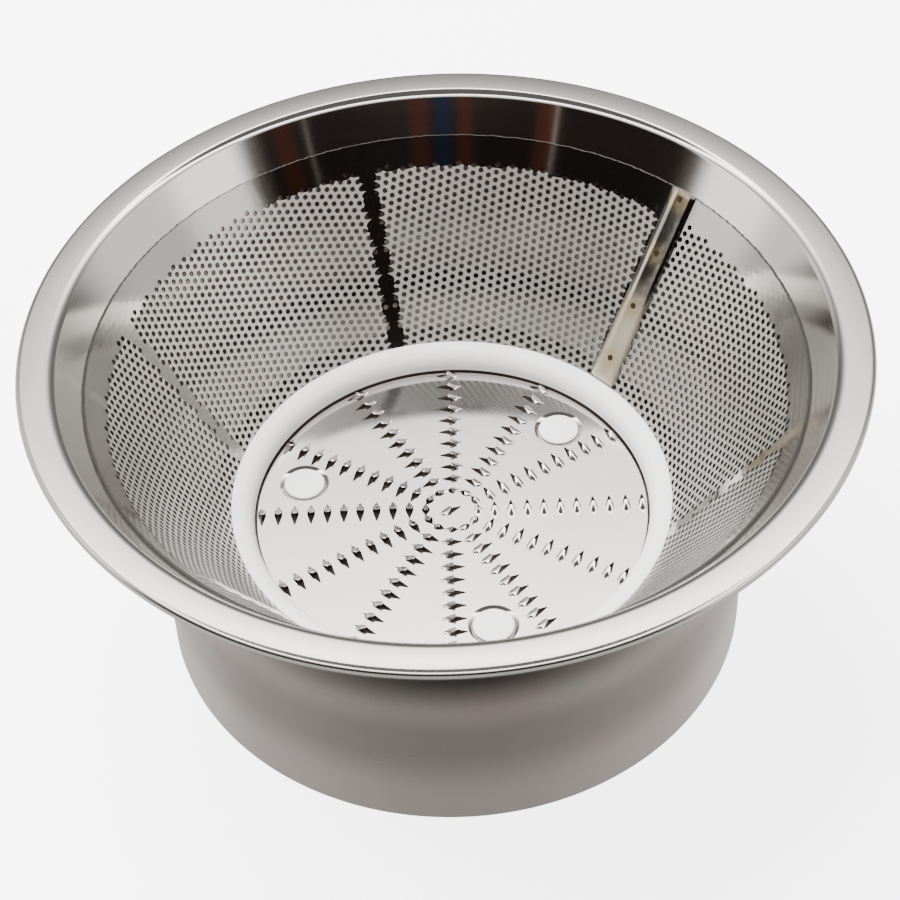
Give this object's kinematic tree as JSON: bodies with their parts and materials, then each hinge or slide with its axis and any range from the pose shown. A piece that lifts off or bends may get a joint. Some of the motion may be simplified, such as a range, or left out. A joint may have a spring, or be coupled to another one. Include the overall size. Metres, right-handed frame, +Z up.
{
  "type": "juicer filter basket",
  "caption": "Round juicer basket: perforated steel cone with a broad rolled rim, grater disc with pierced teeth, white clamp ring and hub, drive coupling and outer steel skirt.",
  "frame": {"origin": "centre of the circle that the skirt's lower edge stands on, on the spin axis", "axes": "+Z up along the spin axis, through the bowl's mouth; the lap seam lies 43 degrees from +X towards +Y"},
  "size_m": [0.17, 0.17, 0.076],
  "materials": {
    "satin_steel": "satin, fine circular grain",
    "perforated_steel": "bright, perforated",
    "polished_steel": "mirror polished",
    "skirt_steel": "satin",
    "weld_steel": "spot weld",
    "white_plastic": "smooth",
    "dark_plastic": "moulded",
    "bush_steel": "turned",
    "screw_steel": "plated"
  },
  "bodies": {
    "root": {"rim_ring": "satin_steel", "mesh_cone": "perforated_steel", "seam_welds": "weld_steel", "collar_welds": "weld_steel", "outer_skirt": "skirt_steel", "skirt_welds": "weld_steel", "grater_disc": "polished_steel", "clamp_ring": "white_plastic", "base_hub": "white_plastic", "ring_screws": "screw_steel", "ring_washers": "screw_steel", "shaft_bush": "bush_steel", "drive_coupling": "dark_plastic", "coupling_screws": "screw_steel"}
  },
  "joints": []
}
